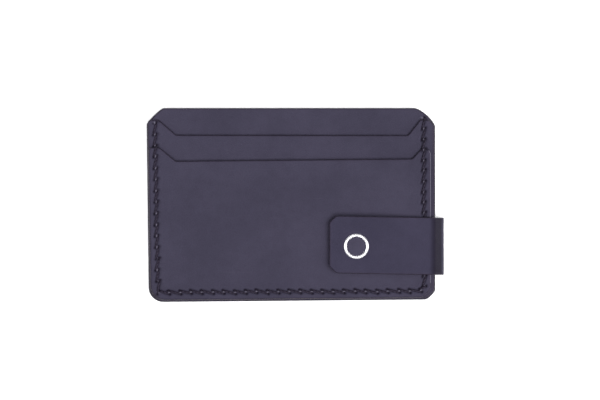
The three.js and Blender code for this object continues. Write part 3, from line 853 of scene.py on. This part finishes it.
def strap_path():
    """Lengths along the strap with x, z and direction at each, at mid-thickness, and where its seven
    stretches end. Each stretch has one curvature, 1 / radius, and the steps between are eased."""
    run = FOLD_STARTS - STRAP_BACK_END
    arcs = [FOLD_RADIUS * FOLD_TURN, CREST_RADIUS * CREST_TURN, EASE_RADIUS * SLOPE]
    fold_top = STRAP_THICK / 2 + FOLD_RADIUS * (1 - math.cos(FOLD_TURN))
    crest_z = fold_top + SIDE_LENGTH * math.sin(FOLD_TURN)
    crest_z += CREST_RADIUS * (math.cos(FOLD_TURN) - math.cos(math.pi - SLOPE))
    climb = (TAB_LEVEL - crest_z - EASE_RADIUS * (1 - math.cos(SLOPE))) / math.sin(SLOPE)
    ends = np.cumsum([run, arcs[0], SIDE_LENGTH, arcs[1], climb, arcs[2], SPARE])
    bends = np.array([0, 1 / FOLD_RADIUS, 0, 1 / CREST_RADIUS, 0, 1 / EASE_RADIUS, 0])
    s = np.arange(0, ends[-1], FINE)
    curvature = bends[np.searchsorted(ends, s, side="right").clip(0, len(bends) - 1)]
    curvature = np.convolve(curvature, EASING / EASING.sum(), mode="same")
    angle = np.cumsum(curvature) * FINE
    x = STRAP_BACK_END + np.cumsum(np.cos(angle)) * FINE
    z = STRAP_THICK / 2 + np.cumsum(np.sin(angle)) * FINE
    last = np.argmax((x < TIP) & (angle > 3))
    return s[:last], x[:last], z[:last], angle[:last], ends


PATH_S, PATH_X, PATH_Z, PATH_ANGLE, PATH_ENDS = strap_path()
STRAP_LENGTH = PATH_S[-1]
SNAP_S = STRAP_LENGTH - (SNAP[0] - TIP)
SPLIT = (PATH_ENDS[1] + PATH_ENDS[2]) / 2
# The front half is sewn on askew by this angle, which comes in over a stretch under the back.
TURNED = 0.018
TURNS_BEFORE, TURNS_OVER = 45, 40


def fold_strap(flat):
    """Carries a flat strap, (length, across, outward), along the path: the place at that length, plus
    the outward distance along the path's normal. It lies a degree askew round the snap."""
    s = flat[:, 0]
    x, z, angle = (np.interp(s, PATH_S, column) for column in (PATH_X, PATH_Z, PATH_ANGLE))
    turning = smooth((s - PATH_ENDS[0] + TURNS_BEFORE) / TURNS_OVER)
    askew = TURNED * (SNAP_S - np.maximum(s, PATH_ENDS[0])) * turning
    y = STRAP_Y - flat[:, 1] - askew
    return np.stack([x + flat[:, 2] * np.sin(angle), y, z - flat[:, 2] * np.cos(angle)], axis=1)


print(f"strap {STRAP_LENGTH:.1f} mm long, folded at {PATH_ENDS[:4].round(1)} mm")

# %% [markdown]
# Flat, the strap is a plain rectangle with its four corners cut off. What makes it look used is in its
# upper face: the ring has pressed a step into it, the leather that the ring clasps swells up and has a
# painted highlight, the tip droops a little, and the sharp bends have painted shade, darker than the rest.

# %% Strap sheets
CHAMFER, CHAMFER_POWER = 2.5, 1.08
RING_OUTER, RING_INNER = 4.45, 3.3
RING_DENT, CLASPED_DOME, TIP_DROOP = 0.11, 0.16, 0.25
BEND_SHADE, CLASPED_HIGHLIGHT = 0.8, 0.09
SNAP_ACROSS = STRAP_Y - SNAP[1]
BOX_TURNS = np.array([[3.0, -7], [3.0, 7], [14.55, 7], [14.55, -7], [3.0, -7]])
BOX_HOLES = stitch_line(BOX_TURNS, [4, 3, 4, 3])
BOX_SLITS = slits(BOX_HOLES)
BOX_FROM, BOX_TO = (BOX_HOLES + BOX_SLITS)[:-1], (BOX_HOLES - BOX_SLITS)[1:]


def strap_edge(s):
    """Half the strap's width, narrowing over the cut corners at its two ends."""
    # A rounded edge moves a 45 degree cut out by 0.586 of the rounding, so the cut starts that much less.
    cut = CHAMFER - 0.586 * ROUNDING
    from_end = np.minimum(s - ROUNDING, STRAP_LENGTH - ROUNDING - s)
    return STRAP_HALF - ROUNDING - corner(from_end, cut, CHAMFER_POWER)


def strap_faces(x, y):
    """Half the thickness each way. The upper face adds the sunk box seam, a dent under the ring and a
    dome inside it, a droop at the tip and a slight wave, each a smooth step of a distance."""
    relief, painted_shade, painted_highlight = seam_relief(x, y, BOX_HOLES, BOX_SLITS, BOX_FROM, BOX_TO)
    from_ring = np.hypot(x - SNAP_S, y - SNAP_ACROSS)
    inside = smooth((from_ring - RING_INNER + 0.2) / 0.3)
    outside = smooth((RING_OUTER + 0.9 - from_ring) / 0.9)
    dome = CLASPED_DOME * smooth((RING_INNER - from_ring) / RING_INNER)
    over = STRAP_THICK / 2 - 0.03 + np.minimum(relief, 0) * 1.15 - RING_DENT * (inside * outside) + dome
    # Painted shade over the strap's two sharp bends, and a painted highlight on the leather inside the
    # ring.
    bent = smooth((x - PATH_ENDS[1] - 0.2) / 1.2) * smooth((PATH_ENDS[3] + 1.0 - x) / 2.2)
    painted_shade = np.maximum(painted_shade, BEND_SHADE * bent)
    painted_highlight = np.maximum(painted_highlight, CLASPED_HIGHLIGHT * smooth((RING_INNER + 0.3 - from_ring) / 0.6))
    droop = TIP_DROOP * smooth((x - SNAP_S - RING_OUTER) / 6)
    uneven = wave(2 * x, 2 * y, 1.3) * 0.5
    return -STRAP_THICK / 2 - droop + 0 * x, over - droop + uneven, painted_shade, painted_highlight


def strap_sheet(name, columns):
    """One half of the strap, cut square where it meets the other."""
    across = ruler((0, 0.03, 0.01), (0.03, 0.97, 0.0135), (0.97, 1, 0.01))
    return leather_sheet(name, columns, across, lambda s: -strap_edge(s), strap_edge, strap_faces,
                         fold_strap, STRAP_LEATHER, cut_at=SPLIT)


strap_under = strap_sheet("strap_under_leather", ruler(
    (ROUNDING, 2.6, 0.2), (2.6, 16, 0.35), (16, 72, 1.0), (72, SPLIT, 0.2)))
strap_front = strap_sheet("strap_front_leather", ruler(
    (SPLIT, 86, 0.2), (86, SNAP_S - 6, 0.55), (SNAP_S - 6, SNAP_S + 6, 0.2),
    (SNAP_S + 6, STRAP_LENGTH - ROUNDING, 0.2)))
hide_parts("strap_back")
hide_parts("strap_tab", "strap_side")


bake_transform(strap_under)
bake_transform(strap_front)

# %% [markdown]
# ## The stitches
# Each stitch is a short tube of thread that comes up out of one slit, lies in its trough and goes down
# into the next. Its centre line is straight seen from above, and its height falls steeply at the ends,
# as 1 - |2t-1|^n does. The section is an ellipse, because tight thread flattens.

# %% Stitch tubes
THREAD_WIDE, THREAD_HIGH = 0.33, 0.30
SIDES, RINGS = 10, 11
STEP_PART = 0.28
THINNING = 0.45
TWISTS = 4.0


def stitch_tubes(starts, ends, level_from, level_to, side=1, dive=0.95):
    """Points and uv of one tube a stitch, (stitch, ring, side). side is 1 above a face, -1 below. The
    centre line is start + run * t, its level steps up near whichever end is lower, and its ends dive by
    |2t - 1|^7. Round it go wide * cos across the run and high * sin upwards, thinner at the ends."""
    t = (0.5 - 0.5 * np.cos(np.pi * np.linspace(0, 1, RINGS)))[None, :]
    run = ends - starts
    length = np.linalg.norm(run, axis=1, keepdims=True)
    across_run = np.stack([-run[:, 1], run[:, 0]], axis=1) / length
    rises = (level_to > level_from)[:, None]
    step = np.where(rises, smooth(t / STEP_PART), smooth((t - (1 - STEP_PART)) / STEP_PART))
    ground = level_from[:, None] + (level_to - level_from)[:, None] * step
    height = ground - side * dive * np.abs(2 * t - 1) ** 7
    along_run = starts[:, None] + run[:, None] * t[..., None]
    middle = np.concatenate([along_run, height[..., None]], axis=-1)
    tangent = np.gradient(middle, axis=1)
    tangent /= np.linalg.norm(tangent, axis=2, keepdims=True)
    sideways = np.concatenate([across_run, np.zeros((len(run), 1))], axis=1)[:, None, :]
    upward = np.cross(tangent, sideways + 0 * tangent)[:, :, None]
    angle = np.linspace(0, 2 * np.pi, SIDES, endpoint=False)
    taper = (1 - THINNING * np.abs(2 * t - 1) ** 5)[..., None, None]
    cosine, sine = np.cos(angle)[:, None], np.sin(angle)[:, None]
    section = THREAD_WIDE * cosine * sideways[:, :, None] + THREAD_HIGH * sine * upward
    points = middle[:, :, None] + taper * section
    around, along = np.meshgrid(angle / (2 * np.pi), np.arange(RINGS) / RINGS)
    uv = np.broadcast_to(np.stack([along * TWISTS, around], axis=-1), points.shape[:3] + (2,))
    return points, uv


def thread_piece(name, batches):
    """One object from several batches of tubes, each tube closed at both ends."""
    points = np.concatenate([p.reshape(-1, 3) for p, _ in batches])
    uv = np.concatenate([u.reshape(-1, 2) for _, u in batches])
    tubes = sum(len(p) for p, _ in batches)
    one = grid_quads(RINGS, SIDES, close=True)
    starts = np.arange(tubes) * RINGS * SIDES
    quads = (starts[:, None, None] + one[None]).reshape(-1, 4)
    first = starts[:, None] + np.arange(SIDES)[None]
    last = first[:, ::-1] + (RINGS - 1) * SIDES
    caps = [*first.tolist(), *last.tolist()]
    piece = make_mesh(name, put_in_frame(points), quads, THREAD, uv=uv, caps=caps)
    turn_outward(piece.data)
    print(f"{name}: {tubes} stitches")
    return piece


def surface_at(points):
    """Height of the highest panel at the seam, without its relief. Above an ear's top the next panel
    behind is the highest."""
    x, y = points[:, 0], points[:, 1]
    upper, middle, front = [seam_high for _, seam_high, _, _ in LEVELS.values()][1:]
    highest = np.where(y < FRONT_EAR, front, np.where(y < MIDDLE_EAR, middle, upper))
    return highest - sag(x, y)


RIDES_UP = 0.10
SKIN = 0.03
in_front = [surface_at(ends) + RIDES_UP for ends in (STITCH_FROM, STITCH_TO)]
behind = LEVELS["back_panel"][0] + THREAD_HIGH + SKIN
behind = [behind - sag(*ends.T) for ends in (STITCH_FROM, STITCH_TO)]
seam_thread = thread_piece("perimeter_saddle_stitch", [
    stitch_tubes(STITCH_FROM, STITCH_TO, *in_front),
    stitch_tubes(STITCH_FROM, STITCH_TO, *behind, side=-1, dive=0.5)])
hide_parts("perimeter_thread")
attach(seam_thread, "holder")

# %% [markdown]
# The strap's inner end is sewn to the back with a box of the same stitch. Those stitches lie in the
# strap's outer face, so they are made flat on the strap and folded with it, which turns them over.

# %% Anchor stitches
level = np.full(len(BOX_FROM), STRAP_THICK / 2 - THREAD_HIGH - SKIN)
box_points, box_uv = stitch_tubes(BOX_FROM, BOX_TO, level, level, dive=0.5)
box_points = fold_strap(box_points.reshape(-1, 3)).reshape(box_points.shape)
anchor = thread_piece("anchor_saddle_stitch", [(box_points, box_uv)])
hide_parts("anchor_thread")
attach(anchor, "holder")

# %% [markdown]
# ## The snap
# A ring snap has four turned parts and a spring. Turned parts are a profile, radius against height,
# carried round an axis. A profile drawn with sharp corners looks wrong, because pressed sheet metal
# always has small radii, so `eased` rounds every corner of a profile first.

# %% Turned parts
AROUND = 96
EASE_STEPS = 5


def about_snap(radius, angle, height):
    """Points at a radius, angle and height round the snap's axis."""
    x, y = SNAP[0] + radius * np.cos(angle), SNAP[1] + radius * np.sin(angle)
    return np.stack([x, y, height + 0 * x], axis=-1)


def eased(points, radius, closed=True):
    """Replaces each corner with a short curve from one side to the other, starting at most radius away:
    the quadratic Bezier (1-t)^2 start + 2t(1-t) corner + t^2 end."""
    points = np.array(points, float)
    before, after = np.roll(points, 1, axis=0), np.roll(points, -1, axis=0)
    back, on = before - points, after - points
    reach_back = np.linalg.norm(back, axis=1, keepdims=True)
    reach_on = np.linalg.norm(on, axis=1, keepdims=True)
    cut = np.minimum(radius, 0.45 * np.minimum(reach_back, reach_on))
    if not closed:
        cut[[0, -1]] = 0
    start, end = points + back / reach_back * cut, points + on / reach_on * cut
    t = np.linspace(0, 1, EASE_STEPS)[None, :, None]
    curve = (1 - t) ** 2 * start[:, None] + 2 * t * (1 - t) * points[:, None] + t**2 * end[:, None]
    curve = curve.reshape(-1, 2)
    keep = np.linalg.norm(curve - np.roll(curve, 1, axis=0), axis=1) > 1e-6
    return curve[keep]


def turned(profile, closed=True):
    """Points and quads of a profile (radius, height) carried round the snap's axis."""
    angle = np.linspace(0, 2 * np.pi, AROUND, endpoint=False)
    points = about_snap(profile[:, :1], angle, profile[:, 1:])
    quads = grid_quads(len(profile), AROUND, close=True)
    if closed:
        first = np.arange(AROUND)
        last = first + (len(profile) - 1) * AROUND
        join = np.stack([last, first, np.roll(first, -1), np.roll(last, -1)], axis=-1)
        quads = np.concatenate([quads, join])
    return points.reshape(-1, 3), quads


# %% [markdown]
# The prongs are pressed out of the same sheet as the ring: square in section with rounded corners, and
# narrower towards the tip. A circle whose cosine and sine are replaced by their square roots, with the
# sign kept, is such a rounded square.

# %% Prongs
PRONGS = 5
CLAW_RINGS, CLAW_SIDES = 7, 16
NARROWING, THINNING_OUT = 0.55, 0.4


def squared(wave_value):
    """The square root of its size, with its sign."""
    return np.sign(wave_value) * np.abs(wave_value) ** 0.5


def claws(inner, outer, half_width, root, tip):
    """Five tapering prongs round the axis, each a rounded square carried from root to tip."""
    t = np.linspace(0, 1, CLAW_RINGS)[:, None]
    angle = np.linspace(0, 2 * np.pi, CLAW_SIDES, endpoint=False)[None, :]
    half_thick = (outer - inner) / 2 * squared(np.cos(angle)) * (1 - THINNING_OUT * t**3)
    radial = (inner + outer) / 2 + half_thick
    across_claw = half_width * squared(np.sin(angle)) * (1 - NARROWING * t**2)
    height = root + (tip - root) * t + 0 * angle
    turn = (np.arange(PRONGS)[:, None, None] + 0.25) * 2 * np.pi / PRONGS
    x = SNAP[0] + radial * np.cos(turn) - across_claw * np.sin(turn)
    y = SNAP[1] + radial * np.sin(turn) + across_claw * np.cos(turn)
    points = np.stack([x, y, height + 0 * turn], axis=-1)
    one = grid_quads(CLAW_RINGS, CLAW_SIDES, close=True)
    start = np.arange(PRONGS) * CLAW_RINGS * CLAW_SIDES
    quads = (start[:, None, None] + one[None]).reshape(-1, 4)
    roots = start[:, None] + np.arange(CLAW_SIDES)[None]
    tips = roots + (CLAW_RINGS - 1) * CLAW_SIDES
    return points.reshape(-1, 3), quads, [*roots.tolist(), *tips.tolist()]


def snap_part(name, node, material, body, profile, closed=True, prongs=None):
    """A turned part over its CAD node, with prongs if it has them."""
    points, quads = turned(profile, closed)
    caps = []
    if prongs is not None:
        more, more_quads, more_caps = claws(*prongs)
        caps = [[i + len(points) for i in face] for face in more_caps]
        quads = np.concatenate([quads, more_quads + len(points)])
        points = np.concatenate([points, more])
    piece = make_mesh(name, put_in_frame(points), quads, material, caps=caps)
    turn_outward(piece.data)
    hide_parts(node)
    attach(piece, body)
    print(f"{name}: {len(piece.data.polygons)} faces")
    return piece


# %% [markdown]
# The cap is an open ring with a domed face. It sits a little down in the leather, and its five prongs
# go through the strap and spread in the socket. The ring inside the front pocket is the same part.

# %% Rings
TAB_TOP = STRAP_HIGH[2]
FRONT_TOP = node_box("front_pocket_panel")[1][2]
BACK_RING = node_box("snap_back_ring")[0][2] + 0.45
CLAW = (3.5, 3.95, 0.55)
from_crown = np.linspace(-0.54, 0.54, 17)
crown = 0.46 - 1.25 * np.maximum(np.abs(from_crown) - 0.03, 0) ** 2
face = np.stack([3.88 + from_crown, crown], axis=1)
ring_face = eased([[3.33, -0.06], *face, [4.43, -0.06]], 0.05)
snap_part("snap_cap_ring_polished", "snap_cap_ring", POLISHED, "strap_tab",
          ring_face + [0, TAB_TOP - 0.08], prongs=(*CLAW, TAB_TOP, TAB_TOP - 1.4))
snap_part("snap_back_ring_satin", "snap_back_ring", SATIN, "holder",
          ring_face * [1, -1] + [0, BACK_RING], prongs=(*CLAW, BACK_RING, FRONT_TOP + 0.3))

# %% [markdown]
# The stud is a short post with a swollen head on a flange. The socket is a shallow cup with a rolled
# mouth and a groove inside it for the spring, a ring of wire with a gap that lets it open.

# %% Stud, socket and spring
stud_z = node_box("snap_stud")[0][2]
STUD = [[0, 0.02], [3.3, 0.02], [3.32, 0.42], [4.28, 0.42], [4.3, 0], [4.6, 0], [4.6, 0.45], [4.3, 0.68],
        [2.4, 0.70], [2.1, 0.62], [1.62, 0.72], [1.5, 1.0], [1.52, 1.3], [1.74, 1.6], [1.74, 1.8],
        [1.4, 2.02], [0, 2.05]]
snap_part("snap_stud_satin", "snap_stud", SATIN, "holder",
          eased(STUD, 0.16, closed=False) + [0, stud_z], closed=False)
socket_z = node_box("snap_socket")[0][2]
SOCKET = [[2.15, 0.1], [2.3, 0], [3.1, 0], [3.55, 0.25], [3.7, 0.75], [4.45, 0.85], [4.7, 1.05], [4.7, 1.5],
          [4.3, 1.5], [4.3, 1.05], [3.3, 1.05], [3.3, 1.5], [2.15, 1.5], [2.15, 0.85], [2.85, 0.85],
          [2.85, 0.25], [2.15, 0.25]]
snap_part("snap_socket_satin", "snap_socket", SATIN, "strap_tab", eased(SOCKET, 0.12) + [0, socket_z])


SPRING_RADIUS, WIRE_RADIUS, SPRING_LEVEL = 2.42, 0.22, 0.55
SPRING_GAP = math.radians(40)
WIRE_RINGS, WIRE_SIDES = 81, 14


def spring_wire():
    """A wire bent round the axis with a gap: a circle carried along an arc."""
    t = np.linspace(0, 1, WIRE_RINGS)[:, None]
    angle = SPRING_GAP / 2 + t * (2 * np.pi - SPRING_GAP)
    section = np.linspace(0, 2 * np.pi, WIRE_SIDES, endpoint=False)[None, :]
    radius = SPRING_RADIUS + WIRE_RADIUS * np.cos(section)
    points = about_snap(radius, angle, socket_z + SPRING_LEVEL + WIRE_RADIUS * np.sin(section))
    start = np.arange(WIRE_SIDES)
    ends = [start.tolist(), (start + (WIRE_RINGS - 1) * WIRE_SIDES).tolist()]
    return points.reshape(-1, 3), grid_quads(WIRE_RINGS, WIRE_SIDES, close=True), ends


wire_points, wire_quads, wire_ends = spring_wire()
spring = make_mesh("snap_spring_wire", put_in_frame(wire_points), wire_quads, WIRE, caps=wire_ends)
turn_outward(spring.data)
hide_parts("snap_spring")
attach(spring, "strap_tab")

# %% [markdown]
# ## Table, light and camera
# The holder lies on a white table between two large soft lights, one at each side, which is what puts
# the bright flanks on the ring and leaves the matte leather even. The camera looks straight down from
# far enough away that nothing leans.

# %% Table
FLOOR = 4.0
JUST_UNDER = 0.00003


def make_floor():
    """A plain white table, pale right across: a square just under the holder's lowest level."""
    half = FLOOR / 2
    points = np.array([[-half, -half, 0], [half, -half, 0], [half, half, 0], [-half, half, 0]])
    material, tree, shader = new_material("white table", Roughness=0.9, Specular_IOR_Level=0.1)
    place = add(tree, "ShaderNodeTexCoord").outputs["Object"]
    cloud = add(tree, "ShaderNodeTexNoise", {"Vector": place, "Scale": 6.0, "Detail": 2.0})
    colour = blend_colour(tree, cloud.outputs["Fac"], (0.93, 0.93, 0.94, 1), (0.95, 0.95, 0.955, 1))
    feed(tree, shader.inputs["Base Color"], colour)
    shader.inputs["Emission Color"].default_value = (1.0, 1.0, 1.0, 1.0)
    shader.inputs["Emission Strength"].default_value = 0.3
    return make_mesh("table", points - [0, 0, JUST_UNDER], np.array([[0, 1, 2, 3]]), material)


floor = make_floor()
floor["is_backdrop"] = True
print(f"table {FLOOR} m square")

# %% [markdown]
# The side lights are large rectangles, so their edges fade. The overhead light is a distant disc
# instead, because it has to fall as evenly on the table far from the holder as near it. It comes a
# little from the right and from the holder's foot, so the strap and the mouths cast thin shadows.

# %% Lights
SIDE, LIGHT_HIGH = 0.62, 0.52
SOFTBOX, SOFTBOX_WATTS = (0.6, 0.75), 1.9
OVERHEAD_FROM, OVERHEAD_SPREAD, OVERHEAD_STRENGTH = (0.20, -0.17, 0.95), 38.0, 2.8
WALL_TOP, ROOM_FROM = 0.12, 0.20
WALL_LIGHT, ROOM_LIGHT = 1.5, 0.24


def place_light(light, place, aim):
    """Hangs a light at a place so that it shines along aim."""
    lamp = bpy.data.objects.new(light.name, light)
    lamp.location = place
    lamp.rotation_euler = Vector(aim).to_track_quat("-Z", "Y").to_euler()
    bpy.context.scene.collection.objects.link(lamp)


def add_softbox(name, x):
    """A soft rectangular light at one side, aimed at the holder's middle."""
    light = bpy.data.lights.new(name, "AREA")
    light.shape, light.size, light.size_y = "RECTANGLE", *SOFTBOX
    light.energy = SOFTBOX_WATTS
    place = Vector((x, 0.0, LIGHT_HIGH))
    place_light(light, place, (cad_bounds[0] + cad_bounds[1]) / 2 - place)


def add_overhead():
    """A distant disc of the given spread, whose light is the same everywhere."""
    light = bpy.data.lights.new("overhead", "SUN")
    light.angle, light.energy = math.radians(OVERHEAD_SPREAD), OVERHEAD_STRENGTH
    place_light(light, (0.0, 0.0, 1.5), -Vector(OVERHEAD_FROM))


def make_surroundings():
    """A pale wall round the horizon and a dim room above it, by the height of the direction."""
    world = bpy.data.worlds.new("studio")
    bpy.context.scene.world = world
    world.use_nodes = True
    tree = world.node_tree
    direction = add(tree, "ShaderNodeTexCoord").outputs["Generated"]
    up = add(tree, "ShaderNodeSeparateXYZ", {0: direction}).outputs["Z"]
    background = tree.nodes["Background"]
    background.inputs["Color"].default_value = (0.97, 0.98, 1.0, 1.0)
    strength = remap(tree, up, WALL_TOP, ROOM_FROM, WALL_LIGHT, ROOM_LIGHT)
    feed(tree, background.inputs["Strength"], strength)


add_softbox("left softbox", -SIDE)
add_softbox("right softbox", SIDE)
add_overhead()
make_surroundings()
print("lights:", [light.name for light in bpy.data.lights])

# %% [markdown]
# ## The camera
# The lens follows from how wide a field the camera should see at the back panel's level: the focal
# length is to the distance as the sensor's width is to the field.

# %% Camera
FIELD = 212.6 * MM
HEIGHT = 1.2
LOOKS_AT = np.array([3.376, 1.422, 0.0])
camera_data = bpy.data.cameras.new("camera")
camera_data.lens = camera_data.sensor_width * (HEIGHT - LEVELS["back_panel"][1] * MM) / FIELD
camera = bpy.data.objects.new("camera", camera_data)
camera.location = (*put_in_frame(LOOKS_AT)[:2], HEIGHT)
bpy.context.scene.collection.objects.link(camera)
bpy.context.scene.camera = camera
bpy.context.scene.view_settings.view_transform = "Standard"
print(f"lens {camera_data.lens:.1f} mm")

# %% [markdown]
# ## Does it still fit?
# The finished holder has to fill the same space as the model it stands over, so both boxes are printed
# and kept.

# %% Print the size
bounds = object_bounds()
for label, pair in (("cad", cad_bounds), ("visual", bounds)):
    print(label, [round(v / MM, 2) for corner_point in pair for v in corner_point])
